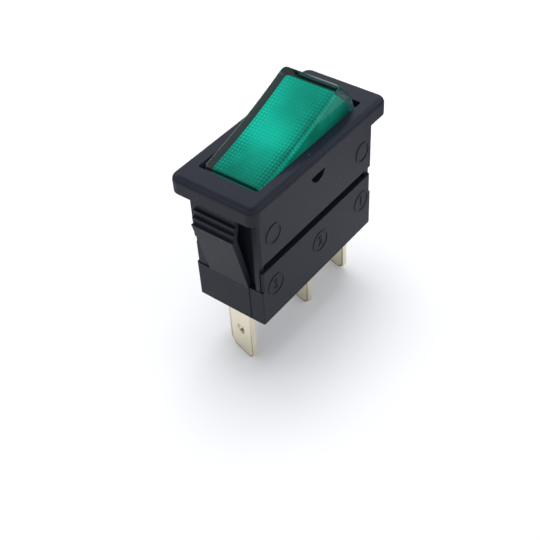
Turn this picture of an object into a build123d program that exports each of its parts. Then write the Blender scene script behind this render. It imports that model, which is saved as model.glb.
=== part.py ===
from build123d import *
import os
from math import asin, cos, degrees, pi, radians, sin, sqrt, tan

# Illuminated snap-in rocker switch, in millimetres. The origin is the centre of the bezel's
# underside, which seats on the panel. +Z points out of the panel towards the finger, +X runs along
# the long side towards the supply blade, and +Y runs across.

# Rocker: the cap's ends are arcs about the pivot, so they run along the ends of the opening
rocker_radius = 12.95
rocker_width = 10.4
rocker_corner_angle = 36.0
rocker_dish = 0.5
rest_tilt = 18.0
pivot_drop = 1.55
lens_top_wall = 1.6
lens_side_wall = 0.75
lens_end_wall = 1.4
lens_foot = 0.25
lens_side_round = 0.9
lens_top_round = 0.3
diffuser_wall = 0.6
diffuser_corner = 0.7
seat_gap = 0.05
edge_match = 0.01

# Carrier under the cap, with the pivot pins, the lamp cradles and the plunger tube
carrier_end_gap = 0.2
carrier_top = 0.2
carrier_bottom = -2.4
carrier_floor = 1.0
carrier_pocket_inset = 2.3
carrier_wall = 1.9
ear_radius = 2.2
ear_thickness = 0.55
pin_radius = 1.7
pin_length = 0.6
pin_clearance = 0.05
pin_chamfer = 0.2
tube_radius = 2.3
tube_reach = 8.8
tube_roof = 0.9

# Plunger and its spring
plunger_radius = 1.4
plunger_clearance = 0.05
plunger_reach = 13.05
plunger_top = -5.6
spigot_radius = 0.75
spigot_height = 1.2
plunger_wire = 0.15
plunger_coil_radius = 1.12
plunger_coil_pitch = 0.95

# Running gaps round the rocker, and the walls of the upper housing
rocker_end_gap = 0.25
rocker_side_gap = 0.2
side_wall = 1.14
end_wall = 0.7
latch_pocket = 0.9
skirt_drop = 9.85
body_corner = 0.35
bezel_side_overhang = 1.31
bezel_end_overhang = 2.38
bezel_height = 2.9
bezel_corner = 1.6
bezel_edge_round = 1.0
opening_corner = 0.35
seam = 0.05

# Terminal base
body_depth = 22.3
base_proud = 0.15
corner_inset = 0.1
shoulder_drop = 15.35
cheek_drop = 11.45
cheek_inset = 0.2
rim_drop = 8.85
rim_wall = 0.75
base_floor = 1.75
foot_length = 1.25
foot_step = 0.6
bead_radius = 0.3
bead_proud = 0.15
bead_length = 6.0
bead_drop = 9.35
base_edge = 0.2

# Snap-in tongues: a ramp that rises from the base's end wall, with ratchet steps under the bezel
tongue_width = 7.7
tongue_thickness = 1.15
slot_width = 9.6
slot_offset = 0.4
ramp_reach = 2.85
ramp_drop = 4.3
step_pitch = 1.18
step_depth = 0.36
step_lean = 0.1
tongue_top_gap = 0.35

# Flat blades, 6.3 x 0.8 mm, turned a little about their own axes
blade_width = 6.3
blade_thickness = 0.8
blade_reach = 11.7
blade_turn = 15.0
blade_tip_corner = 1.1
blade_tip_bevel = 0.22
blade_hole_radius = 0.95
blade_hole_drop = 6.2
stem_width = 4.5
slot_clearance = 0.05
supply_x = 13.4
load_x = 2.6
lamp_x = -12.9
plate_top = -16.05

# Contact arm: a strip with a V seat for the plunger, rocking on a rib in the load terminal's saddle
arm_thickness = 0.6
arm_width = 4.4
arm_tilt = 8.0
arm_rise_angle = 20.0
arm_v_half = 3.6
arm_reach = 10.0
arm_tail = 5.4
arm_rib_radius = 0.5
saddle_clearance = 0.1
arm_axis_lift = 0.15
arm_seat_lift = 0.2
contact_x = 8.4
contact_radius = 1.5
contact_disc = 0.3
contact_dome = 0.2
contact_shank = 0.75
contact_upset = 0.25
contact_gap = 0.1
guide_gap = 0.15
guide_thickness = 1.6
guide_top = -12.35

# Fixed contact and the plates that the blades' stems bend into
fixed_contact_head = 0.5
fixed_contact_radius = 1.6
supply_pad_radius = 2.2
plate_half = 2.2
load_plate_start = -1.3
load_plate_end = 4.9
load_plate_left = -4.3
lamp_plate_end = -9.6
lamp_plate_start = -11.8
finger_right = 2.45
finger_left = 4.2
finger_end = -1.7

# Seat ribs that carry the plates, and the pockets for the outer stems
rib_thickness = 1.2
rib_length = 4.0
supply_rib_x = 10.6
load_rib_x = (0.0, 4.4)
lamp_rib_x = -10.5
stem_pocket_half = 2.75
stem_pocket_reach = 1.05

# Lamp, resistor, leads and the lamp's contact springs
lamp_radius = 1.9
lamp_wall = 0.4
lamp_press = 1.5
lamp_start = -1.0
lamp_length = 8.5
lamp_height = 2.3
lead_radius = 0.2
lead_spread = 0.7
press_width = 3.2
press_height = 1.3
electrode_start = 0.9
electrode_radius = 0.35
electrode_length = 4.4
resistor_radius = 0.95
resistor_waist = 0.75
resistor_band = 0.9
resistor_round = 0.15
resistor_start = -8.5
resistor_length = 4.0
cradle_thickness = 0.8
cradle_half = 1.9
cradle_stations = (2.0, 6.0)
cradle_depth = 1.1
lead_bend = 0.5
lead_rail = 2.9
lead_level = -1.0
lead_turn_u = -2.2
resistor_turn_u = -9.4
seat_u = 3.5
spring_y = 3.2
lead_tip = 0.25
lamp_wire = 0.15
lamp_coil_radius = 0.75
lamp_coil_pitch = 1.6
spring_end_gap = 0.3

# Sizes that follow from the ones above
rocker_half = rocker_width / 2
opening_length = 2 * (rocker_radius + rocker_end_gap)
opening_width = rocker_width + 2 * rocker_side_gap
body_length = opening_length + 2 * (end_wall + latch_pocket)
body_width = opening_width + 2 * side_wall
body_end = body_length / 2
body_half = body_width / 2
bezel_length = body_length + 2 * bezel_end_overhang
bezel_width = body_width + 2 * bezel_side_overhang
latch_wall_x = opening_length / 2 + end_wall
rim_length = opening_length - 2 * seam
rim_width = opening_width - 2 * seam
cavity_length = rim_length - 2 * rim_wall
cavity_width = rim_width - 2 * rim_wall
base_length = body_length + 2 * base_proud
base_end = base_length / 2
corner_end = base_end - corner_inset
bead_y = rim_width / 2 - bead_radius + bead_proud
foot_half = opening_width / 2 + foot_step
floor_top = base_floor - body_depth
plate_bottom = plate_top - blade_thickness
arm_axis = plate_top + arm_axis_lift
carrier_floor_top = carrier_bottom + carrier_floor
lamp_end = lamp_start + lamp_length
lamp_barrel = lamp_start + lamp_press
rise = radians(arm_rise_angle)
arm_lift = arm_seat_lift + arm_v_half * tan(rise)
crown = arm_lift - contact_disc - contact_dome
dome_radius = (contact_radius**2 + contact_dome**2) / (2 * contact_dome)
dome_sweep = degrees(asin(contact_radius / dome_radius))
fixed_x = contact_x * cos(radians(arm_tilt)) + crown * sin(radians(arm_tilt))
fixed_top = arm_axis + crown * cos(radians(arm_tilt)) - contact_x * sin(radians(arm_tilt)) - contact_gap
supply_plate_top = fixed_top - fixed_contact_head
supply_pocket_x = supply_x + stem_pocket_reach
lamp_pocket_x = stem_pocket_reach - lamp_x

# Planes of the rocker, tilted to the rest position: u along it, w up from the pivot, v across
tilt = radians(rest_tilt)
pivot = (0, 0, -pivot_drop)
along = (cos(tilt), 0, sin(tilt))
rocker_side = Plane(origin=pivot, x_dir=along, z_dir=(0, -1, 0))
rocker_frame = Plane(origin=pivot, x_dir=along, z_dir=(-sin(tilt), 0, cos(tilt)))
rocker_cross = Plane(origin=pivot, x_dir=(0, 1, 0), z_dir=along)

# Planes of the contact arm at rest, its supply end down on the fixed contact
arm_slope = radians(arm_tilt)
arm_side = Plane(origin=(0, 0, arm_axis), x_dir=(cos(arm_slope), 0, -sin(arm_slope)), z_dir=(0, -1, 0))
arm_frame = Plane(
    origin=(0, 0, arm_axis),
    x_dir=(cos(arm_slope), 0, -sin(arm_slope)),
    z_dir=(sin(arm_slope), 0, cos(arm_slope)),
)


def save(part, name):
    """Label a finished piece and write it to its own STEP file."""
    part.label = name
    export_step(part, f"parts/{name}.step")


def rocker_profile(skin, end_skin, foot):
    """Side outline of the rocker cap, skin below its dished top and end_skin inside its end arcs."""
    radius = rocker_radius - end_skin
    top = rocker_radius * sin(radians(rocker_corner_angle)) - skin
    corner = sqrt(radius**2 - top**2)
    toe = sqrt(radius**2 - foot**2)
    middle = (asin(top / radius) + asin(foot / radius)) / 2
    bulge = (radius * cos(middle), radius * sin(middle))
    with BuildSketch(rocker_side) as profile:
        with BuildLine():
            ThreePointArc((-corner, top), (0, top - rocker_dish), (corner, top))
            ThreePointArc((corner, top), bulge, (toe, foot))
            Line((toe, foot), (-toe, foot))
            ThreePointArc((-toe, foot), (-bulge[0], bulge[1]), (-corner, top))
        make_face()
    return profile.sketch


def coil(frame, radius, wire, pitch, height):
    """A coil spring that stands on the frame's plane."""
    with BuildPart() as spring:
        with BuildLine(frame.offset(wire)) as path:
            Helix(pitch, height - 2 * wire, radius, center=(0, 0, 0), direction=frame.z_dir)
        with BuildSketch(Plane(origin=path.line @ 0, z_dir=path.line % 0)):
            RegularPolygon(wire, 8)
        sweep()
    return spring.part


def wire_run(points):
    """A lead wire bent through points given in the rocker's own u, v and w."""
    with BuildPart() as run:
        with BuildLine(rocker_frame) as path:
            FilletPolyline(*points, radius=lead_bend)
        with BuildSketch(Plane(origin=path.line @ 0, z_dir=path.line % 0)):
            Circle(lead_radius)
        sweep()
    return run.part


def blade_plane(x):
    """Plane of a blade's middle, its x across the blade and its y up."""
    turn = radians(blade_turn)
    return Plane(origin=(x, 0, 0), x_dir=(sin(turn), cos(turn), 0), z_dir=(cos(turn), -sin(turn), 0))


def blade(x, stem_top):
    """Flat blade with bevelled tip, wire hole and the narrower stem that stands inside the base."""
    tip = -body_depth - blade_reach
    half = blade_width / 2
    face = blade_plane(x)
    with BuildPart() as blank:
        with BuildSketch(face):
            with BuildLine():
                Polyline(
                    (-half + blade_tip_corner, tip),
                    (half - blade_tip_corner, tip),
                    (half, tip + blade_tip_corner),
                    (half, floor_top),
                    (stem_width / 2, floor_top),
                    (stem_width / 2, stem_top),
                    (-stem_width / 2, stem_top),
                    (-stem_width / 2, floor_top),
                    (-half, floor_top),
                    (-half, tip + blade_tip_corner),
                    close=True,
                )
            make_face()
            with Locations((0, -body_depth - blade_hole_drop)):
                Circle(blade_hole_radius, mode=Mode.SUBTRACT)
        extrude(amount=blade_thickness / 2, both=True)
        rim = blank.edges().filter_by(lambda e: e.center().Z < tip + blade_tip_corner)
        chamfer(rim.filter_by(lambda e: abs((e % 0.5).dot(face.z_dir)) < 0.1), blade_tip_bevel)
    return blank.part


def stem_outline(x, length, thickness):
    """Cross-section of a blade's stem or slot, in the plan of the base."""
    with BuildSketch() as outline:
        with Locations(Location((x, 0, 0), (0, 0, 90 - blade_turn))):
            Rectangle(length, thickness)
    return outline.sketch


# Upper housing: bezel, rocker well and the skirt that the base snaps into, one black moulding
with BuildPart() as upper_housing:
    with BuildSketch():
        RectangleRounded(bezel_length, bezel_width, bezel_corner)
    extrude(amount=bezel_height)
    fillet(upper_housing.faces().sort_by(Axis.Z)[-1].edges(), bezel_edge_round)
    with BuildSketch():
        RectangleRounded(body_length, body_width, body_corner)
    extrude(amount=-skirt_drop)
    # End walls run on down to the base's shoulders, with corner posts that the cheeks' thin ends cover
    with BuildSketch(Plane.XY.offset(-skirt_drop)):
        Rectangle(body_length, opening_width)
        with GridLocations(body_length - foot_length, 0, 2, 1):
            Rectangle(foot_length, 2 * foot_half)
    extrude(amount=skirt_drop - shoulder_drop + 2 * seam)
    with BuildSketch(Plane.XY.offset(bezel_height)):
        RectangleRounded(opening_length, opening_width, opening_corner)
    extrude(amount=-bezel_height, mode=Mode.SUBTRACT)
    with BuildSketch():
        Rectangle(opening_length, opening_width)
    extrude(amount=-shoulder_drop, mode=Mode.SUBTRACT)
    # Open pockets in both ends, where the snap-in tongues flex
    with BuildSketch():
        with Locations((0, -slot_offset)):
            with GridLocations(2 * latch_wall_x + body_length, 0, 2, 1):
                Rectangle(body_length, slot_width)
    extrude(amount=-shoulder_drop, mode=Mode.SUBTRACT)
    # Pivot holes through the side walls, half hidden from outside by the bezel
    with BuildSketch(rocker_side):
        Circle(pin_radius + pin_clearance)
    extrude(amount=body_half, both=True, mode=Mode.SUBTRACT)
    # Grooves that catch the base's snap beads
    with BuildSketch(Plane.YZ):
        with Locations((bead_y, -bead_drop), (-bead_y, -bead_drop)):
            Circle(bead_radius + seam)
    extrude(amount=bead_length / 2 + seam, both=True, mode=Mode.SUBTRACT)
save(upper_housing.part, "upper_housing")


# Terminal base: floor, walls, seat ribs for the terminals and both snap-in tongues in one moulding
with BuildPart() as terminal_base:
    with BuildSketch(Plane.XY.offset(-body_depth)):
        RectangleRounded(base_length, body_width, body_corner)
    extrude(amount=body_depth - shoulder_drop)
    chamfer(terminal_base.faces().sort_by(Axis.Z)[0].edges(), base_edge)
    # Cheeks along the sides, thinned at their ends to cover the housing's posts
    with BuildSketch(Plane.XY.offset(-shoulder_drop)):
        RectangleRounded(body_length - 2 * cheek_inset, body_width, body_corner)
        Rectangle(base_length, 2 * (foot_half + seam), mode=Mode.SUBTRACT)
        Rectangle(base_length - 2 * (foot_length + base_proud + seam), body_width)
    extrude(amount=shoulder_drop - cheek_drop)
    # Inner rim that slides up inside the housing, with its snap beads
    with BuildSketch(Plane.XY.offset(-cheek_drop)):
        Rectangle(rim_length, rim_width)
    extrude(amount=cheek_drop - rim_drop)
    with BuildSketch(Plane.YZ):
        with Locations((bead_y, -bead_drop), (-bead_y, -bead_drop)):
            Circle(bead_radius)
    extrude(amount=bead_length / 2, both=True)
    # The ends are open above the shoulders, outside the rim
    with BuildSketch(Plane.XY.offset(-shoulder_drop)):
        with GridLocations(rim_length + body_length, 0, 2, 1):
            Rectangle(body_length, 2 * (foot_half + seam))
    extrude(amount=shoulder_drop, mode=Mode.SUBTRACT)
    # One corner of each end face lies a little back, beside its tongue
    with BuildSketch(Plane.XY.offset(-body_depth)):
        with Locations((0, -tongue_width / 2 - body_width / 2)):
            with GridLocations(2 * corner_end + body_length, 0, 2, 1):
                Rectangle(body_length, body_width)
    extrude(amount=body_depth, mode=Mode.SUBTRACT)
    # Tongues: ramp, three ratchet steps and a thin flexing root
    ramp_x = body_end + ramp_reach
    inner_x = ramp_x - tongue_thickness
    top_x = ramp_x - 3 * step_depth
    with BuildSketch(Plane.XZ):
        with BuildLine():
            Polyline(
                (base_end, -shoulder_drop),
                (ramp_x, -ramp_drop),
                (ramp_x - step_depth - step_lean, -ramp_drop),
                (ramp_x - step_depth, -ramp_drop + step_pitch),
                (ramp_x - 2 * step_depth - step_lean, -ramp_drop + step_pitch),
                (ramp_x - 2 * step_depth, -ramp_drop + 2 * step_pitch),
                (top_x - step_lean, -ramp_drop + 2 * step_pitch),
                (top_x, -tongue_top_gap),
                (top_x - tongue_thickness, -tongue_top_gap),
                (inner_x, -ramp_drop),
                (latch_wall_x + seam, -shoulder_drop),
                close=True,
            )
        make_face()
        mirror(about=Plane.YZ)
    extrude(amount=tongue_width / 2, both=True)
    with BuildSketch(Plane.XY.offset(floor_top)):
        Rectangle(cavity_length, cavity_width)
    extrude(amount=-floor_top - rim_drop, mode=Mode.SUBTRACT)
    # Pockets in the end walls for the outer stems
    with BuildSketch(Plane.XY.offset(floor_top)):
        with Locations((supply_pocket_x / 2, 0)):
            Rectangle(supply_pocket_x, 2 * stem_pocket_half)
        with Locations((-lamp_pocket_x / 2, 0)):
            Rectangle(lamp_pocket_x, 2 * stem_pocket_half)
    extrude(amount=plate_top + seam - floor_top, mode=Mode.SUBTRACT)
    # Seat ribs under the plates
    with BuildSketch(Plane.XY.offset(floor_top)):
        with Locations((load_rib_x[0], 0), (load_rib_x[1], 0), (lamp_rib_x, 0)):
            Rectangle(rib_thickness, rib_length)
    extrude(amount=plate_bottom - floor_top)
    with BuildSketch(Plane.XY.offset(floor_top)):
        with Locations((supply_rib_x, 0)):
            Rectangle(rib_thickness, rib_length)
    extrude(amount=supply_plate_top - blade_thickness - floor_top)
    # Guides on the side walls that keep the contact arm central and the load plate down
    with BuildSketch(Plane.XY.offset(plate_top + seam)):
        Rectangle(guide_thickness, cavity_width)
        Rectangle(guide_thickness, arm_width + 2 * guide_gap, mode=Mode.SUBTRACT)
    extrude(amount=guide_top - plate_top - seam)
    # Slots for the blades
    with BuildSketch(Plane.XY.offset(-body_depth)):
        for x in (supply_x, load_x, lamp_x):
            add(stem_outline(x, blade_width + 2 * slot_clearance, blade_thickness + 2 * slot_clearance))
    extrude(amount=base_floor, mode=Mode.SUBTRACT)
save(terminal_base.part, "terminal_base")


# Rocker lens: clear moulded cap with a dished top and arc ends
with BuildPart() as rocker_lens:
    extrude(rocker_profile(0, 0, lens_foot), amount=rocker_half, both=True)
    side_arcs = rocker_lens.edges().filter_by(
        lambda e: abs(abs(e.center().Y) - rocker_half) < edge_match
        and abs(rocker_frame.to_local_coords(e.center()).X) > rocker_radius / 2
    )
    fillet(side_arcs, lens_side_round)
    top_face = rocker_lens.faces().sort_by(Axis(pivot, rocker_frame.z_dir))[-1]
    fillet(top_face.edges(), lens_top_round)
    hollow = rocker_profile(lens_top_wall, lens_end_wall, lens_foot)
    extrude(hollow, amount=rocker_half - lens_side_wall, both=True, mode=Mode.SUBTRACT)
    with BuildSketch(rocker_side):
        Circle(ear_radius + seat_gap)
    extrude(amount=rocker_half, both=True, mode=Mode.SUBTRACT)
save(rocker_lens.part, "rocker_lens")


# Diffuser: green translucent cap that nests inside the lens, over the lamp
with BuildPart() as rocker_diffuser:
    skin = lens_top_wall + seat_gap
    end_skin = lens_end_wall + seat_gap
    cap_half = rocker_half - lens_side_wall - seat_gap
    extrude(rocker_profile(skin, end_skin, lens_foot), amount=cap_half, both=True)
    end_arcs = rocker_diffuser.edges().filter_by(
        lambda e: abs(abs(e.center().Y) - cap_half) < edge_match
        and abs(rocker_frame.to_local_coords(e.center()).X) > rocker_radius / 2
    )
    fillet(end_arcs, diffuser_corner)
    hollow = rocker_profile(skin + diffuser_wall, end_skin + diffuser_wall, lens_foot)
    extrude(hollow, amount=cap_half - diffuser_wall, both=True, mode=Mode.SUBTRACT)
save(rocker_diffuser.part, "rocker_diffuser")


# Rocker carrier: black frame under the cap, with pivot pins, lamp cradles and the plunger tube
with BuildPart() as rocker_carrier:
    with BuildSketch(rocker_side):
        Circle(rocker_radius - carrier_end_gap)
        with Locations((0, (carrier_top + carrier_bottom) / 2)):
            Rectangle(3 * rocker_radius, carrier_top - carrier_bottom, mode=Mode.INTERSECT)
    extrude(amount=rocker_half, both=True)
    # Pocket inside the walls, above the floor
    with BuildSketch(rocker_frame.offset(carrier_floor_top)):
        Rectangle(2 * (rocker_radius - carrier_pocket_inset), rocker_width - 2 * carrier_wall)
    extrude(amount=carrier_top - carrier_floor_top, mode=Mode.SUBTRACT)
    # Ears and pivot pins on both sides
    for side in (-1, 1):
        flank = rocker_side.offset(side * rocker_half)
        with BuildSketch(flank):
            Circle(ear_radius)
        extrude(amount=-side * ear_thickness)
        with BuildSketch(flank):
            Circle(pin_radius)
        extrude(amount=side * pin_length)
    pin_rims = rocker_carrier.edges().filter_by(
        lambda e: abs(e.center().Y) > rocker_half + pin_length - edge_match
    )
    chamfer(pin_rims, pin_chamfer)
    # Plunger tube, with the roof that its spring pushes on
    with BuildSketch(rocker_frame.offset(-tube_reach)):
        Circle(tube_radius)
    extrude(amount=tube_reach)
    # Cradles for the lamp and a post for the resistor
    for station in cradle_stations:
        with BuildSketch(rocker_cross.offset(station - cradle_thickness / 2)):
            with Locations((0, (carrier_floor_top + lamp_height - cradle_depth) / 2)):
                Rectangle(2 * cradle_half, lamp_height - cradle_depth - carrier_floor_top)
            with Locations((0, lamp_height)):
                Circle(lamp_radius + seat_gap, mode=Mode.SUBTRACT)
        extrude(amount=cradle_thickness)
    with BuildSketch(rocker_cross.offset(resistor_start + (resistor_length - cradle_thickness) / 2)):
        with Locations((lead_spread, (carrier_floor_top + lamp_height) / 2)):
            Rectangle(2 * resistor_radius, lamp_height - carrier_floor_top)
        with Locations((lead_spread, lamp_height)):
            Circle(resistor_waist + seat_gap, mode=Mode.SUBTRACT)
    extrude(amount=cradle_thickness)
    with BuildSketch(rocker_frame.offset(-tube_reach)):
        Circle(plunger_radius + plunger_clearance)
    extrude(amount=tube_reach - tube_roof, mode=Mode.SUBTRACT)
    # Holes that bring the lead wires through the floor
    with BuildSketch(rocker_frame.offset(carrier_bottom)):
        with Locations((seat_u, -lead_rail), (-seat_u, lead_rail)):
            Circle(lead_radius + seat_gap)
    extrude(amount=carrier_floor, mode=Mode.SUBTRACT)
save(rocker_carrier.part, "rocker_carrier")


# Plunger: moulded pin with a round nose and a spigot inside its spring
with BuildPart() as plunger:
    nose = plunger_reach - plunger_radius
    with BuildSketch(rocker_side):
        with BuildLine():
            Line((0, plunger_top + spigot_height), (spigot_radius, plunger_top + spigot_height))
            Line((spigot_radius, plunger_top + spigot_height), (spigot_radius, plunger_top))
            Line((spigot_radius, plunger_top), (plunger_radius, plunger_top))
            Line((plunger_radius, plunger_top), (plunger_radius, -nose))
            CenterArc((0, -nose), plunger_radius, 0, -90)
            Line((0, -plunger_reach), (0, plunger_top + spigot_height))
        make_face()
    revolve(axis=Axis(pivot, rocker_frame.z_dir))
save(plunger.part, "plunger")

plunger_spring = coil(
    rocker_frame.offset(plunger_top),
    plunger_coil_radius,
    plunger_wire,
    plunger_coil_pitch,
    -plunger_top - tube_roof - seat_gap,
)
save(plunger_spring, "plunger_spring")


# Contact arm: strip bent into a V seat, with a rocking rib below and a contact rivet at its far end
with BuildPart() as contact_arm:
    with BuildSketch(arm_side):
        with BuildLine():
            Polyline(
                (-arm_tail, arm_lift),
                (-arm_v_half, arm_lift),
                (0, arm_seat_lift),
                (arm_v_half, arm_lift),
                (arm_reach, arm_lift),
                (arm_reach, arm_lift + arm_thickness),
                (arm_v_half - arm_thickness * tan(rise / 2), arm_lift + arm_thickness),
                (0, arm_seat_lift + arm_thickness / cos(rise)),
                (arm_thickness * tan(rise / 2) - arm_v_half, arm_lift + arm_thickness),
                (-arm_tail, arm_lift + arm_thickness),
                close=True,
            )
        make_face()
        Circle(arm_rib_radius)
    extrude(amount=arm_width / 2, both=True)
    with BuildSketch(arm_frame.offset(arm_lift)):
        with Locations((contact_x, 0)):
            Circle(contact_shank + seam)
    extrude(amount=arm_thickness, mode=Mode.SUBTRACT)
    corners = contact_arm.edges().filter_by(
        lambda e: abs(e.length - arm_thickness) < 0.01 and abs(abs(e.center().Y) - arm_width / 2) < 0.01
    )
    fillet(corners, arm_width / 4)
save(contact_arm.part, "contact_arm")


# Moving contact: silver rivet with a domed head, set through the arm
with BuildPart() as moving_contact:
    with BuildSketch(arm_side):
        with BuildLine():
            dome = CenterArc((contact_x, crown + dome_radius), dome_radius, -90, dome_sweep)
            Polyline(
                dome @ 0,
                (contact_x, arm_lift + arm_thickness + contact_upset),
                (contact_x + contact_shank + contact_upset, arm_lift + arm_thickness + contact_upset),
                (contact_x + contact_shank + contact_upset, arm_lift + arm_thickness),
                (contact_x + contact_shank, arm_lift + arm_thickness),
                (contact_x + contact_shank, arm_lift),
                (contact_x + contact_radius, arm_lift),
                dome @ 1,
            )
        make_face()
    revolve(axis=Axis(arm_frame.from_local_coords((contact_x, 0, 0)), arm_frame.z_dir))
save(moving_contact.part, "moving_contact")


# Fixed contact: flat-headed silver rivet, set through the supply terminal's plate
with BuildPart() as fixed_contact:
    underside = supply_plate_top - blade_thickness - contact_upset
    with BuildSketch(Plane.XY.offset(supply_plate_top)):
        with Locations((fixed_x, 0)):
            Circle(fixed_contact_radius)
    extrude(amount=fixed_contact_head)
    with BuildSketch(Plane.XY.offset(underside)):
        with Locations((fixed_x, 0)):
            Circle(contact_shank)
    extrude(amount=supply_plate_top - underside)
    with BuildSketch(Plane.XY.offset(underside)):
        with Locations((fixed_x, 0)):
            Circle(contact_shank + contact_upset)
    extrude(amount=contact_upset)
save(fixed_contact.part, "fixed_contact")


# Supply terminal: blade, stem and the plate that carries the fixed contact
with BuildPart() as supply_terminal:
    add(blade(supply_x, supply_plate_top))
    with BuildSketch(Plane.XY.offset(supply_plate_top - blade_thickness)):
        add(stem_outline(supply_x, stem_width, blade_thickness))
        with Locations(((fixed_x + supply_x) / 2, 0)):
            Rectangle(supply_x - fixed_x, 2 * plate_half - contact_upset)
        with Locations((fixed_x, 0)):
            Circle(supply_pad_radius)
            Circle(contact_shank + seam, mode=Mode.SUBTRACT)
    extrude(amount=blade_thickness)
save(supply_terminal.part, "supply_terminal")


# Load terminal: blade, stem and a plate with the saddle for the arm and a tab for the lamp's spring
with BuildPart() as load_terminal:
    add(blade(load_x, plate_top))
    with BuildSketch(Plane.XY.offset(plate_bottom)):
        with Locations(((load_plate_start + load_plate_end) / 2, (load_plate_left + plate_half) / 2)):
            Rectangle(load_plate_end - load_plate_start, plate_half - load_plate_left)
        add(stem_outline(load_x, stem_width, blade_thickness))
    extrude(amount=blade_thickness)
    with BuildSketch(arm_side):
        Circle(arm_rib_radius + saddle_clearance)
    extrude(amount=body_width, both=True, mode=Mode.SUBTRACT)
save(load_terminal.part, "load_terminal")


# Lamp terminal: blade, stem and a plate with a long finger that reaches to the lamp's second spring
with BuildPart() as lamp_terminal:
    add(blade(lamp_x, plate_top))
    with BuildSketch(Plane.XY.offset(plate_bottom)):
        add(stem_outline(lamp_x, stem_width, blade_thickness))
        with Locations(((lamp_x + lamp_plate_end) / 2, 0)):
            Rectangle(lamp_plate_end - lamp_x, 2 * plate_half)
        with Locations(((lamp_plate_start + lamp_plate_end) / 2, finger_left / 2)):
            Rectangle(lamp_plate_end - lamp_plate_start, finger_left)
        with Locations(((lamp_plate_start + finger_end) / 2, (finger_right + finger_left) / 2)):
            Rectangle(finger_end - lamp_plate_start, finger_left - finger_right)
    extrude(amount=blade_thickness)
save(lamp_terminal.part, "lamp_terminal")


# Lamp envelope: glass tube with a domed tip and a flat press round the leads
with BuildPart() as lamp_glass:
    with BuildSketch(rocker_side):
        with BuildLine():
            Polyline(
                (lamp_end, lamp_height),
                (lamp_barrel, lamp_height),
                (lamp_barrel, lamp_height + lamp_radius),
                (lamp_end - lamp_radius, lamp_height + lamp_radius),
            )
            CenterArc((lamp_end - lamp_radius, lamp_height), lamp_radius, 90, -90)
        make_face()
    lamp_line = Axis(rocker_frame.from_local_coords((0, 0, lamp_height)), rocker_cross.z_dir)
    revolve(axis=lamp_line)
    with BuildSketch(rocker_cross.offset(lamp_start)):
        with Locations((0, lamp_height)):
            Rectangle(press_width, press_height)
    extrude(amount=lamp_press + lamp_wall)
    with BuildSketch(rocker_side):
        with BuildLine():
            Polyline(
                (lamp_end - lamp_wall, lamp_height),
                (lamp_barrel + lamp_wall, lamp_height),
                (lamp_barrel + lamp_wall, lamp_height + lamp_radius - lamp_wall),
                (lamp_end - lamp_radius, lamp_height + lamp_radius - lamp_wall),
            )
            CenterArc((lamp_end - lamp_radius, lamp_height), lamp_radius - lamp_wall, 90, -90)
        make_face()
    revolve(axis=lamp_line, mode=Mode.SUBTRACT)
    with BuildSketch(rocker_cross.offset(lamp_start)):
        with Locations((lead_spread, lamp_height), (-lead_spread, lamp_height)):
            Circle(lead_radius)
    extrude(amount=lamp_press + lamp_wall, mode=Mode.SUBTRACT)
save(lamp_glass.part, "lamp_glass")


# Lamp electrodes: a pair of nickel rods, each welded to its own lead
with BuildPart() as electrode_load:
    with BuildSketch(rocker_cross.offset(electrode_start)):
        with Locations((-lead_spread, lamp_height)):
            Circle(electrode_radius)
    extrude(amount=electrode_length)
save(electrode_load.part, "electrode_load")

with BuildPart() as electrode_return:
    with BuildSketch(rocker_cross.offset(electrode_start)):
        with Locations((lead_spread, lamp_height)):
            Circle(electrode_radius)
    extrude(amount=electrode_length)
save(electrode_return.part, "electrode_return")


# Lamp leads: bent wires that end below the carrier's floor, over their springs
lamp_lead_load = wire_run(
    (
        (electrode_start, -lead_spread, lamp_height),
        (lead_turn_u, -lead_spread, lamp_height),
        (lead_turn_u, -lead_rail, lamp_height),
        (lead_turn_u, -lead_rail, lead_level),
        (seat_u, -lead_rail, lead_level),
        (seat_u, -lead_rail, carrier_bottom - lead_tip),
    )
)
save(lamp_lead_load, "lamp_lead_load")

resistor_lead = wire_run(
    (
        (resistor_start, lead_spread, lamp_height),
        (resistor_turn_u, lead_spread, lamp_height),
        (resistor_turn_u, lead_spread, lead_level),
        (resistor_turn_u, lead_rail, lead_level),
        (-seat_u, lead_rail, lead_level),
        (-seat_u, lead_rail, carrier_bottom - lead_tip),
    )
)
save(resistor_lead, "resistor_lead")

with BuildPart() as lamp_lead_return:
    with BuildSketch(rocker_cross.offset(resistor_start + resistor_length)):
        with Locations((lead_spread, lamp_height)):
            Circle(lead_radius)
    extrude(amount=electrode_start - resistor_start - resistor_length)
save(lamp_lead_return.part, "lamp_lead_return")


# Series resistor: ceramic body with a cap at each end
with BuildPart() as series_resistor:
    with BuildSketch(rocker_cross.offset(resistor_start)):
        with Locations((lead_spread, lamp_height)):
            Circle(resistor_waist)
    extrude(amount=resistor_length)
    for start in (resistor_start, resistor_start + resistor_length - resistor_band):
        with BuildSketch(rocker_cross.offset(start)):
            with Locations((lead_spread, lamp_height)):
                Circle(resistor_radius)
        extrude(amount=resistor_band)
    rims = series_resistor.edges().filter_by(lambda e: abs(e.length - 2 * pi * resistor_radius) < 0.01)
    fillet(rims, resistor_round)
save(series_resistor.part, "series_resistor")


# Lamp springs: coils that stand on the terminals' plates under the two lead tips
for u, y, name in ((seat_u, -spring_y, "lamp_spring_load"), (-seat_u, spring_y, "lamp_spring_return")):
    tip = rocker_frame.from_local_coords((u, y, carrier_bottom - lead_tip))
    seat = Plane(origin=(tip.X, y, plate_top))
    height = tip.Z - spring_end_gap - plate_top
    save(coil(seat, lamp_coil_radius, lamp_wire, lamp_coil_pitch, height), name)
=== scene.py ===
import math
import bpy
from mathutils import Matrix, Vector


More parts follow.
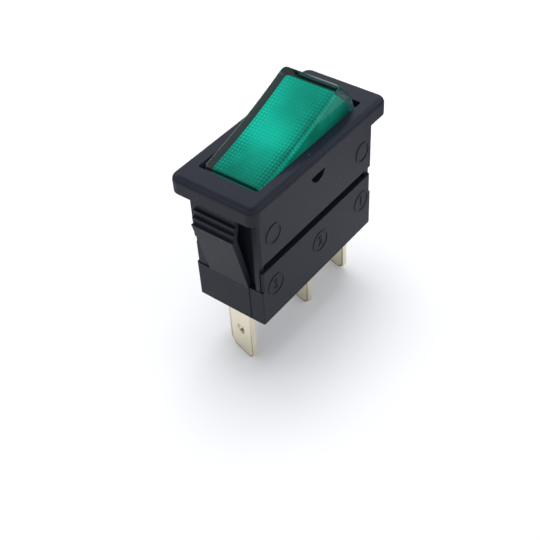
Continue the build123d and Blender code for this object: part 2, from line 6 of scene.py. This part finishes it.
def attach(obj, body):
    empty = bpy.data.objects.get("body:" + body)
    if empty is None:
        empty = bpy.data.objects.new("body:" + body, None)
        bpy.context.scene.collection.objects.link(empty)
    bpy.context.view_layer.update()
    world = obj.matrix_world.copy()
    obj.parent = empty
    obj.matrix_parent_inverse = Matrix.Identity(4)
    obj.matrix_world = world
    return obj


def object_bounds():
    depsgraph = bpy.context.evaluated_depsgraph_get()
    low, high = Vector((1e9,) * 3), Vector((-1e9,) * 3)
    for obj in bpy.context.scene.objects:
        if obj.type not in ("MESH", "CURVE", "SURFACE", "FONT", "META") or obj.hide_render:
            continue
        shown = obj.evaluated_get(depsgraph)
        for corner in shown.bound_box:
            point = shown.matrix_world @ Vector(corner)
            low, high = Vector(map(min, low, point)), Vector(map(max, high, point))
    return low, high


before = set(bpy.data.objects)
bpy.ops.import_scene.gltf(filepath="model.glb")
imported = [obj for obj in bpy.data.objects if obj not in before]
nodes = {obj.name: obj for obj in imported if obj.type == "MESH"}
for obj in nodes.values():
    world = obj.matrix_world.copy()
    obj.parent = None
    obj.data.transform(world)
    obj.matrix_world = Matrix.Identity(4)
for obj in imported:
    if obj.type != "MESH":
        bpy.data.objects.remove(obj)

cad_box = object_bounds()
scene = bpy.context.scene
scene.view_settings.view_transform = "Standard"


# The view: the switch stands on its three blades and is seen from above, over the end with the lamp's
# blade, with the long side that carries the moulded marks turned to the right.
view_turn = math.radians(-50.30)
view_rise = math.radians(43.98)
view_roll = math.radians(-3.68)
view_reach = 0.14208
view_target = Vector((-0.01155, -0.00607, -0.01254))
frame_pixels = 540
focal_pixels = 939.31
centre_pixel_x = 272.72
centre_pixel_y = 267.62
sensor_width = 36
back = Vector((
    math.sin(view_turn) * math.cos(view_rise),
    -math.cos(view_turn) * math.cos(view_rise),
    math.sin(view_rise),
))
level = Vector((0, 0, 1)).cross(back).normalized()
upright = back.cross(level)
right = math.cos(view_roll) * level + math.sin(view_roll) * upright
up = math.cos(view_roll) * upright - math.sin(view_roll) * level
camera_data = bpy.data.cameras.new("camera")
camera_data.lens = focal_pixels / frame_pixels * sensor_width
camera_data.shift_x = (frame_pixels / 2 - centre_pixel_x) / frame_pixels
camera_data.shift_y = (centre_pixel_y - frame_pixels / 2) / frame_pixels
camera_data.clip_start = 0.005
camera = bpy.data.objects.new("camera", camera_data)
camera.matrix_world = Matrix.Translation(view_target + view_reach * back) @ Matrix(
    (right, up, back)
).transposed().to_4x4()
scene.collection.objects.link(camera)
scene.camera = camera


# The stage: a wide sheet of matt paper under the blades, white to the camera, that takes the soft grey
# shadow of the switch. It is nearly dark where it is seen through the clear parts, or mirrored in the
# plastic from beyond the switch.
class Socket:
    """A value on its way through a shader, so that a plain expression adds its maths nodes."""

    def __init__(self, finish, link):
        self.finish = finish
        self.link = link

    def maths(self, operation, *others):
        return self.finish.node(
            "ShaderNodeMath", {"operation": operation}, dict(enumerate((self, *others)))
        )

    def slope(self, start, end, low=0.0, high=1.0, shape="LINEAR"):
        """Low up to start and high from end on, with an even or a soft slope between the two."""
        return self.finish.node(
            "ShaderNodeMapRange",
            {"interpolation_type": shape},
            {"Value": self, "From Min": start, "From Max": end, "To Min": low, "To Max": high},
        )

    def __add__(self, other):
        return self.maths("ADD", other)

    def __sub__(self, other):
        return self.maths("SUBTRACT", other)

    def __rsub__(self, other):
        return self.maths("MULTIPLY", -1).maths("ADD", other)

    def __mul__(self, other):
        return self.maths("MULTIPLY", other)

    __radd__ = __add__
    __rmul__ = __mul__


class Finish:
    """A node tree that is built up one node at a time."""

    def __init__(self, owner):
        owner.use_nodes = True
        self.tree = owner.node_tree
        self.tree.nodes.clear()

    def node(self, kind, settings=None, inputs=None, output=0):
        """Adds one node: its settings first, then the values or links of its sockets."""
        made = self.tree.nodes.new(kind)
        for key, value in (settings or {}).items():
            if key == "stops":
                while len(made.color_ramp.elements) < len(value):
                    made.color_ramp.elements.new(0.5)
                for stop, (place, colour) in zip(made.color_ramp.elements, value):
                    stop.position = place
                    stop.color = colour
            else:
                setattr(made, key, value)
        for key, value in (inputs or {}).items():
            if isinstance(value, Socket):
                self.tree.links.new(value.link, made.inputs[key])
            else:
                made.inputs[key].default_value = value
        return Socket(self, made.outputs[output]) if made.outputs else None

    def noise(self, point, scale, detail):
        return self.node("ShaderNodeTexNoise", inputs={"Vector": point, "Scale": scale, "Detail": detail})

    def blend(self, share, first, second):
        """Mixes two colours, each of them a socket or a plain red, green and blue."""
        first, second = (
            colour if isinstance(colour, Socket) else (*colour, 1) for colour in (first, second)
        )
        return self.node(
            "ShaderNodeMix", {"data_type": "RGBA"}, {"Factor": share, 6: first, 7: second}, output=2
        )

    def cover(self, share, below, above):
        """Lays a share of one shader over another."""
        return self.node("ShaderNodeMixShader", inputs={0: share, 1: below, 2: above})

    def light(self, colour, strength=1.0):
        return self.node("ShaderNodeEmission", inputs={"Color": (*colour, 1), "Strength": strength})


stage_gap = 0.00001
stage_size = 4
away = (0.77, 0.64, 0)
dark_from = 0.012
dark_by = 0.040
bpy.ops.object.select_all(action="DESELECT")
bpy.ops.mesh.primitive_plane_add(size=stage_size, location=(0, 0, cad_box[0][2] - stage_gap))
floor = bpy.context.object
floor.name = "floor"
paper = bpy.data.materials.new("pale_paper")
finish = Finish(paper)
point = finish.node("ShaderNodeTexCoord", output="Object")
fibres = finish.noise(point, 30, 4)
seen = finish.node("ShaderNodeLightPath", output="Is Camera Ray")
mirrored = finish.node("ShaderNodeLightPath", output="Is Glossy Ray")
through = finish.node("ShaderNodeLightPath", output="Is Transmission Ray")
matt = finish.node(
    "ShaderNodeBsdfPrincipled",
    inputs={
        "Base Color": finish.blend(fibres, (0.92, 0.92, 0.93), (0.94, 0.94, 0.95)),
        "Roughness": 1.0,
        "Specular IOR Level": 0.0,
    },
)
lifted = finish.cover(0.10 * seen, matt, finish.light((0.99, 0.99, 1.0)))
behind = finish.node("ShaderNodeVectorMath", {"operation": "DOT_PRODUCT"}, {0: point, 1: away}, "Value")
beyond = behind.slope(dark_from, dark_by, 0.15, 0.95, "SMOOTHSTEP")
dimmed = finish.cover(through + beyond * mirrored, lifted, finish.light((0.50, 1.0, 1.0), 0.06))
finish.node("ShaderNodeOutputMaterial", inputs={"Surface": dimmed})
floor.data.materials.append(paper)


# The room: soft light all round, and two soft panels that aren't mirrored themselves. Mirrored in the
# plastic, the room is dim low down, bright at mid height and dark overhead. Behind the clear parts it
# is nearly dark, so that their rims look smoky.
room_level = 0.60
room_through_clear = 0.06
world = bpy.data.worlds.new("soft_room")
scene.world = world
finish = Finish(world)
mirrored = finish.node("ShaderNodeLightPath", output="Is Glossy Ray")
through = finish.node("ShaderNodeLightPath", output="Is Transmission Ray")
way = finish.node("ShaderNodeTexCoord", output="Generated")
height = finish.node("ShaderNodeSeparateXYZ", inputs={0: way}, output="Z")
overhead = height.slope(0.64, 0.80, 1.35, 0.14, "SMOOTHSTEP")
horizon = height.slope(0.20, 0.60, 0.30, 1.0, "SMOOTHSTEP")
strength = (
    room_level * (1 - mirrored) * (1 - through)
    + overhead * horizon * mirrored * (1 - through)
    + room_through_clear * through
)
room = finish.node("ShaderNodeBackground", inputs={"Color": (0.90, 0.94, 1.0, 1), "Strength": strength})
finish.node("ShaderNodeOutputWorld", inputs={"Surface": room})

lit_point = Vector((0, 0, -0.01))
for name, place, size, power in (
    ("key_panel", (0.07, 0.075, 0.47), 0.34, 1.80),
    ("fill_panel", (0.12, -0.38, 0.22), 0.35, 0.25),
):
    lamp = bpy.data.lights.new(name, "AREA")
    lamp.size = size
    lamp.energy = power
    panel = bpy.data.objects.new(name, lamp)
    panel.location = place
    panel.rotation_euler = (lit_point - Vector(place)).to_track_quat("-Z", "Y").to_euler()
    panel.visible_glossy = False
    panel.visible_transmission = False
    scene.collection.objects.link(panel)


# Upper housing: the bezel and the skirt are one black moulding. The bezel's face is polished a little
# smoother than the sides, which keep the fine grain of the mould.
black_plastic = (0.0128, 0.0148, 0.023)
polish_fade = 0.0006


def black_moulding(name, colour, smooth, coarse, polish_from):
    """Black plastic with a fine grain, faint flow clouds, and a smoother face above polish_from."""
    material = bpy.data.materials.new(name)
    finish = Finish(material)
    point = finish.node("ShaderNodeTexCoord", output="Object")
    z = finish.node("ShaderNodeSeparateXYZ", inputs={0: point}, output="Z")
    clouds = finish.noise(point, 160, 4)
    grain = finish.noise(point, 5200, 2)
    dust = finish.noise(point, 1500, 2).slope(0.70, 0.80)
    tone = finish.blend(clouds, [part * 0.82 for part in colour], [part * 1.22 for part in colour])
    tone = finish.blend(dust * 0.12, tone, (0.5, 0.5, 0.5))
    face = z.slope(polish_from - polish_fade, polish_from)
    bump = finish.node(
        "ShaderNodeBump", inputs={"Height": grain, "Distance": 0.00002, "Strength": 0.35 - 0.2 * face}
    )
    shader = finish.node(
        "ShaderNodeBsdfPrincipled",
        inputs={
            "Base Color": tone,
            "Roughness": coarse - (coarse - smooth) * face + 0.10 * (clouds - 0.5),
            "IOR": 1.52,
            "Specular IOR Level": 0.20,
            "Normal": bump,
        },
    )
    finish.node("ShaderNodeOutputMaterial", inputs={"Surface": shader})
    return material


def give(material, *names):
    """Puts a material on the named pieces in place of the one they came with."""
    for name in names:
        nodes[name].data.materials.clear()
        nodes[name].data.materials.append(material)


housing_black = black_moulding("housing_black", black_plastic, 0.33, 0.46, polish_from=0.0023)
give(housing_black, "upper_housing")


# Terminal base: the same black plastic from another mould, a shade duller, with no polished face. Its
# tongues, cheeks and floor are one piece that snaps up into the housing.
no_face = 0.02
base_black = black_moulding("base_black", black_plastic, 0.46, 0.50, polish_from=no_face)
give(base_black, "terminal_base")


# Moulded marks: plain raised rings on both mouldings, and a raised terminal number inside each ring
# of the base. They stand a tenth of a millimetre proud of the long side.
side_face = min(corner[1] for corner in nodes["terminal_base"].bound_box)
mark_height = 0.00010
line_width = 0.00022
ring_steps = 72
housing_mark_z = -0.00555
housing_ring_radius = 0.0017
base_mark_z = -0.0158
base_ring_radius = 0.00185
lamp_mark_x = -0.0115
load_mark_x = 0.0003
supply_mark_x = 0.0121
housing_lamp_end_x = -0.0114
number_size = 0.00266


def moulded_ring(name, x, z, radius):
    bpy.ops.object.select_all(action="DESELECT")
    bpy.ops.mesh.primitive_circle_add(
        vertices=ring_steps,
        radius=radius - line_width / 2,
        location=(x, side_face, z),
        rotation=(math.pi / 2, 0, 0),
    )
    ring = bpy.context.object
    ring.name = name
    bpy.ops.object.mode_set(mode="EDIT")
    bpy.ops.mesh.select_all(action="SELECT")
    bpy.ops.mesh.extrude_edges_move()
    grown = (radius + line_width / 2) / (radius - line_width / 2)
    bpy.ops.transform.resize(value=(grown, grown, grown), center_override=(x, side_face, z))
    bpy.ops.mesh.select_all(action="SELECT")
    bpy.ops.mesh.extrude_region_move(TRANSFORM_OT_translate={"value": (0, -mark_height, 0)})
    bpy.ops.mesh.select_all(action="SELECT")
    bpy.ops.mesh.normals_make_consistent(inside=False)
    bpy.ops.object.mode_set(mode="OBJECT")
    bpy.ops.object.transform_apply(location=True, rotation=True, scale=True)
    return ring


def moulded_number(name, digit, x, z):
    bpy.ops.object.select_all(action="DESELECT")
    bpy.ops.object.text_add(location=(x, side_face, z), rotation=(math.pi / 2, 0, 0))
    number = bpy.context.object
    number.name = name
    number.data.body = digit
    number.data.size = number_size
    number.data.align_x = "CENTER"
    number.data.align_y = "CENTER"
    number.data.extrude = mark_height
    bpy.ops.object.convert(target="MESH")
    bpy.ops.object.transform_apply(location=True, rotation=True, scale=True)
    return bpy.context.object


for name, x, z, radius in (
    ("housing_ring_lamp_end", housing_lamp_end_x, housing_mark_z, housing_ring_radius),
    ("housing_ring_supply_end", supply_mark_x, housing_mark_z, housing_ring_radius),
    ("base_ring_lamp", lamp_mark_x, base_mark_z, base_ring_radius),
    ("base_ring_load", load_mark_x, base_mark_z, base_ring_radius),
    ("base_ring_supply", supply_mark_x, base_mark_z, base_ring_radius),
):
    ring = moulded_ring(name, x, z, radius)
    ring.data.materials.append(housing_black if name.startswith("housing") else base_black)
    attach(ring, "housing")

for name, digit, x in (
    ("terminal_number_lamp", "3", lamp_mark_x),
    ("terminal_number_load", "2", load_mark_x),
    ("terminal_number_supply", "1", supply_mark_x),
):
    number = moulded_number(name, digit, x, base_mark_z)
    number.data.materials.append(base_black)
    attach(number, "housing")


# Rocker lens: a clear polished cap, moulded in one piece, with the diffuser pushed up into its hollow.
# The hollow's walls are left invisible, as if bonded to the diffuser. The rims are painted smoky: a
# grey light on the left wall and a teal light at the far end stand in for reflection. Thin painted
# highlights run along the edges, and a painted black shadow line along the near end. Sizes on the rocker
# are in millimetres.
pivot_drop = 1.55
rest_tilt = math.radians(18)
lens_half = 5.2
lens_reach = 12.95
lens_corner = 10.48
lens_top = 7.11
lens_rise = 0.0045
hollow_half = 4.50
hollow_top = 6.06
hollow_reach = 11.60
lens_index = 1.49


def rocker_place(finish):
    """Places on the rocker: u along it, v across it and w up from the pivot, and the reach from it."""
    point = finish.node("ShaderNodeTexCoord", output="Object")
    turned = finish.node(
        "ShaderNodeMapping",
        {"vector_type": "POINT"},
        {
            "Vector": point,
            "Location": (pivot_drop * math.sin(rest_tilt), 0, pivot_drop * math.cos(rest_tilt)),
            "Rotation": (0, rest_tilt, 0),
            "Scale": (1000, 1000, 1000),
        },
    )
    u, v, w = (finish.node("ShaderNodeSeparateXYZ", inputs={0: turned}, output=axis) for axis in "XYZ")
    return turned, u, v, w, (u * u + w * w).maths("SQRT")


lens_clear = bpy.data.materials.new("lens_clear")
finish = Finish(lens_clear)
turned, u, v, w, reach = rocker_place(finish)
smears = finish.noise(turned, 0.5, 3)
shader = finish.node(
    "ShaderNodeBsdfPrincipled",
    inputs={
        "Base Color": finish.blend(smears, (0.84, 0.93, 0.92), (0.90, 0.97, 0.96)),
        "Roughness": 0.02 + 0.04 * smears,
        "IOR": lens_index,
        "Specular IOR Level": 0.35,
        "Transmission Weight": 1.0,
    },
)
dulled = finish.node(
    "ShaderNodeBsdfRefraction",
    inputs={"Color": (0.87, 0.95, 0.94, 1), "Roughness": 0.04, "IOR": lens_index},
)
near_side = v.slope(0.3 - lens_half, 0.1 - lens_half)
shader = finish.cover(0.2 + 0.5 * near_side, shader, dulled)
inner_side = v.maths("ABSOLUTE").slope(hollow_half + 0.02, hollow_half)
inner_top = w.slope(hollow_top + 0.02, hollow_top)
inner_end = reach.slope(hollow_reach + 0.03, hollow_reach)
bonded = finish.node("ShaderNodeBsdfTransparent")
shader = finish.cover(inner_side * inner_top * inner_end, shader, bonded)
# Painted reflection: the left side wall of the lens gives off a faint grey light, so that this rim looks
# smoky.
painted_left_rim_light = v.slope(lens_half - 0.12, lens_half - 0.04)
shader = finish.cover(0.62 * painted_left_rim_light, shader, finish.light((0.056, 0.053, 0.058)))
# Painted highlights: thin pale lines light up along the left top edge of the near half, the far top edge
# and the far end's right edge of the lens.
on_top = (w - lens_top - lens_rise * (u * u)).slope(-0.35, -0.15)
near_half = u.slope(1.0, -1.5)
far_half = u.slope(0.0, 1.0)
right_half = v.slope(1.0, -1.0)
left_edge = v.slope(lens_half - 0.22, lens_half - 0.10)
right_edge = v.slope(0.24 - lens_half, 0.14 - lens_half)
far_edge = reach.slope(lens_reach - 0.20, lens_reach - 0.03)
far_top = u.slope(lens_corner - 0.26, lens_corner - 0.12)
painted_edge_highlights = left_edge * near_half * on_top + far_top * on_top * right_half + far_edge * right_edge * far_half
shader = finish.cover(0.7 * painted_edge_highlights, shader, finish.light((0.36, 0.38, 0.42)))
# Painted light: a faint teal light at the far end stands in for the diffuser's light seen through it.
shader = finish.cover(0.25 * far_edge * far_half, shader, finish.light((0.06, 0.20, 0.20)))
# Painted shadow: a nearly black strip along the near end of the lens's top stands in for the shaded gap
# to the bezel.
near_rim = u.slope(0.18 - lens_corner, 0.12 - lens_corner)
shade = finish.node("ShaderNodeBsdfDiffuse", inputs={"Color": (0.003, 0.004, 0.005, 1)})
shader = finish.cover(0.9 * near_rim * on_top, shader, shade)
finish.node("ShaderNodeOutputMaterial", inputs={"Surface": shader})
give(lens_clear, "rocker_lens")


# Diffuser: a translucent green cap that fills the lens. Rows of small prisms are moulded into its top,
# and show as light and dark dots in its colour. It glows by itself though it is no lamp, with painted
# light over the lamp and along the far left edge, and painted shade at the near end and along the near
# long side. Its plain sides are painted darker lower down, its ends darker, and the far long side a
# dark grey shade.
cap_half = 4.40
cap_reach = 11.50
prism_pitch = 0.59


def soft_spot(u, v, centre, size):
    """A round hill of height 1 over the rocker's plan, with its size along u and v."""
    across = (u - centre[0]) * (1 / size[0])
    along = (v - centre[1]) * (1 / size[1])
    return (-1 * (across * across + along * along)).maths("EXPONENT")


diffuser_green = bpy.data.materials.new("diffuser_green")
finish = Finish(diffuser_green)
turned, u, v, w, reach = rocker_place(finish)
sideways = v.maths("ABSOLUTE")
rows = 0.5 + 0.5 * (u * (2 * math.pi / prism_pitch)).maths("SINE")
columns = 0.5 + 0.5 * (v * (2 * math.pi / prism_pitch)).maths("SINE")
prisms = rows * columns
margin = sideways.slope(1.6, 3.8, 0.26, 1.0, "SMOOTHSTEP")
near_end = u.slope(-8.0, 8.0, 1.35, 0.65)
uneven = finish.noise(turned, 0.9, 2)
flat_side = sideways.slope(cap_half - 0.10, cap_half - 0.02, 1.0, 0.15)
grain = 1 + margin * near_end * flat_side * (0.15 + 1.2 * uneven) * (prisms - 0.25)
clouds = finish.noise(turned, 0.35, 4)
# Painted light and shade: bright soft spots over the lamp and along the far left edge, darker spots at
# the near end and along the near long side, and a little random unevenness.
painted_light_and_shade = (
    0.42
    + 0.33 * soft_spot(u, v, (-0.7, 0.6), (3.4, 4.2))
    + 0.32 * soft_spot(u, v, (4.9, 5.0), (5.5, 3.3))
    - 0.16 * soft_spot(u, v, (-10.5, 0), (2.6, 8.0))
    - 0.24 * soft_spot(u, v, (-1.0, -5.0), (6.0, 1.3))
    - 0.10 * soft_spot(u, v, (0, -5.0), (30, 1.3))
    + 0.20 * (clouds - 0.5)
)
# Painted shade: the sides darken lower down, and the ends are darker than the top.
side = w.slope(0.2, 5.4, 0.16, 1.0, "SMOOTHSTEP")
ends = reach.slope(cap_reach - 0.10, cap_reach - 0.02, 1.0, 0.3)
green = finish.node(
    "ShaderNodeValToRGB",
    {
        "stops": (
            (0.00, (0.001, 0.008, 0.008, 1)),
            (0.25, (0.003, 0.130, 0.092, 1)),
            (0.55, (0.005, 0.300, 0.215, 1)),
            (1.00, (0.008, 0.540, 0.395, 1)),
        )
    },
    {0: painted_light_and_shade * side * grain * ends},
)
# Painted shade: the far long side is turned almost to a dark grey.
painted_back_side_shade = v.slope(cap_half - 0.15, cap_half - 0.01)
tone = finish.blend(0.8 * painted_back_side_shade, green, (0.010, 0.012, 0.013))
bump = finish.node("ShaderNodeBump", inputs={"Height": prisms, "Distance": 0.00005, "Strength": 0.5})
# The diffuser gives off its painted colour as light, though it is no lamp.
shader = finish.node(
    "ShaderNodeBsdfPrincipled",
    inputs={
        "Base Color": tone,
        "Roughness": 0.6,
        "IOR": 1.1,
        "Normal": bump,
        "Emission Color": tone,
        "Emission Strength": 1.15,
    },
)
finish.node("ShaderNodeOutputMaterial", inputs={"Surface": shader})
give(diffuser_green, "rocker_diffuser")


# Rocker carrier: the black frame that holds the lens, the diffuser and the lamp, and swings on its two
# pivot pins in the housing. It is one moulding, dull all over.
carrier_black = black_moulding("carrier_black", (0.018, 0.018, 0.021), 0.45, 0.5, polish_from=no_face)
give(carrier_black, "rocker_carrier")


# Blades and their plates: brass strip, tinned, with faint lines along the rolling direction, pushed
# into the base. A brown line runs along the coined edge of each tip, fainter further up the blade.
blade_half_width = 3.15
blade_middle = 0.10
blade_turn = math.radians(15)
tip_corner = 1.1
coined_line = 0.30
tinned = bpy.data.materials.new("terminal_tinned")
finish = Finish(tinned)
point = finish.node("ShaderNodeTexCoord", output="Object")
drawn = finish.node("ShaderNodeMapping", inputs={"Vector": point, "Scale": (1, 1, 0.04)})
lines = finish.noise(drawn, 2600, 4)
patches = finish.noise(point, 260, 3)
tone = finish.blend(patches, (0.97, 0.87, 0.66), (1.0, 0.93, 0.76))
y, z = (finish.node("ShaderNodeSeparateXYZ", inputs={0: point}, output=axis) for axis in "YZ")
across = (y * 1000 - blade_middle) * (1 / math.cos(blade_turn))
rise = z * 1000 - cad_box[0][2] * 1000
from_side = blade_half_width - across.maths("ABSOLUTE")
from_corner = (from_side + rise - tip_corner) * math.sqrt(0.5)
inward = from_side.maths("MINIMUM", from_corner).maths("MINIMUM", rise)
coined = (inward - coined_line).maths("ABSOLUTE").slope(0.06, 0.18, 1.0, 0.0)
low_end = rise.slope(3.0, 12.0, 1.0, 0.3)
tone = finish.blend(0.85 * coined * low_end, tone, (0.33, 0.22, 0.13))
bump = finish.node("ShaderNodeBump", inputs={"Height": lines, "Distance": 0.00001, "Strength": 0.3})
shader = finish.node(
    "ShaderNodeBsdfPrincipled",
    inputs={"Base Color": tone, "Metallic": 1.0, "Roughness": 0.26 + 0.16 * lines, "Normal": bump},
)
finish.node("ShaderNodeOutputMaterial", inputs={"Surface": shader})
give(tinned, "supply_terminal", "load_terminal", "lamp_terminal")


# Small metal pieces: the brass contact arm, the silver rivets, the nickel electrodes, the copper
# leads and the steel coils. Each is plain metal with light drawing marks and a little tarnish.
rivets = ("moving_contact", "fixed_contact")
electrodes = ("electrode_load", "electrode_return")
leads = ("lamp_lead_load", "lamp_lead_return", "resistor_lead")
coils = ("plunger_spring", "lamp_spring_load", "lamp_spring_return")
for slot, colour, tarnish, rough, names in (
    ("arm_brass", (0.80, 0.58, 0.27), (0.60, 0.40, 0.18), 0.30, ("contact_arm",)),
    ("contact_silver", (0.88, 0.87, 0.84), (0.66, 0.62, 0.55), 0.28, rivets),
    ("electrode_nickel", (0.55, 0.53, 0.50), (0.38, 0.36, 0.33), 0.5, electrodes),
    ("lead_copper", (0.80, 0.55, 0.40), (0.66, 0.60, 0.55), 0.3, leads),
    ("spring_steel", (0.62, 0.62, 0.63), (0.45, 0.44, 0.43), 0.25, coils),
):
    metal = bpy.data.materials.new(slot)
    finish = Finish(metal)
    point = finish.node("ShaderNodeTexCoord", output="Object")
    stains = finish.noise(point, 700, 4)
    marks = finish.noise(point, 4200, 2)
    tone = finish.blend(stains, colour, tarnish)
    bump = finish.node("ShaderNodeBump", inputs={"Height": marks, "Distance": 0.00001, "Strength": 0.3})
    shader = finish.node(
        "ShaderNodeBsdfPrincipled",
        inputs={"Base Color": tone, "Metallic": 1.0, "Roughness": rough + 0.2 * stains, "Normal": bump},
    )
    finish.node("ShaderNodeOutputMaterial", inputs={"Surface": shader})
    give(metal, *names)


# Plunger and resistor: the plunger is an off-white moulded pin that slides in the carrier's tube. The
# resistor is a coated ceramic body, held by its own lead.
for slot, colour, name in (
    ("plunger_white", (0.72, 0.70, 0.63), "plunger"),
    ("resistor_ceramic", (0.70, 0.60, 0.44), "series_resistor"),
):
    moulded = bpy.data.materials.new(slot)
    finish = Finish(moulded)
    point = finish.node("ShaderNodeTexCoord", output="Object")
    clouds = finish.noise(point, 500, 3)
    tone = finish.blend(clouds, [part * 0.88 for part in colour], colour)
    shader = finish.node(
        "ShaderNodeBsdfPrincipled", inputs={"Base Color": tone, "Roughness": 0.35 + 0.2 * clouds}
    )
    finish.node("ShaderNodeOutputMaterial", inputs={"Surface": shader})
    give(moulded, name)


# Lamp envelope: thin blown glass, sealed round the two electrodes. It is a little frosted in patches,
# and sits in the carrier under the diffuser.
glass = bpy.data.materials.new("lamp_glass")
finish = Finish(glass)
point = finish.node("ShaderNodeTexCoord", output="Object")
frost = finish.noise(point, 900, 3)
shader = finish.node(
    "ShaderNodeBsdfPrincipled",
    inputs={
        "Base Color": (0.93, 0.97, 0.96, 1),
        "Roughness": 0.03 + 0.10 * frost,
        "IOR": 1.5,
        "Transmission Weight": 1.0,
    },
)
finish.node("ShaderNodeOutputMaterial", inputs={"Surface": shader})
give(glass, "lamp_glass")
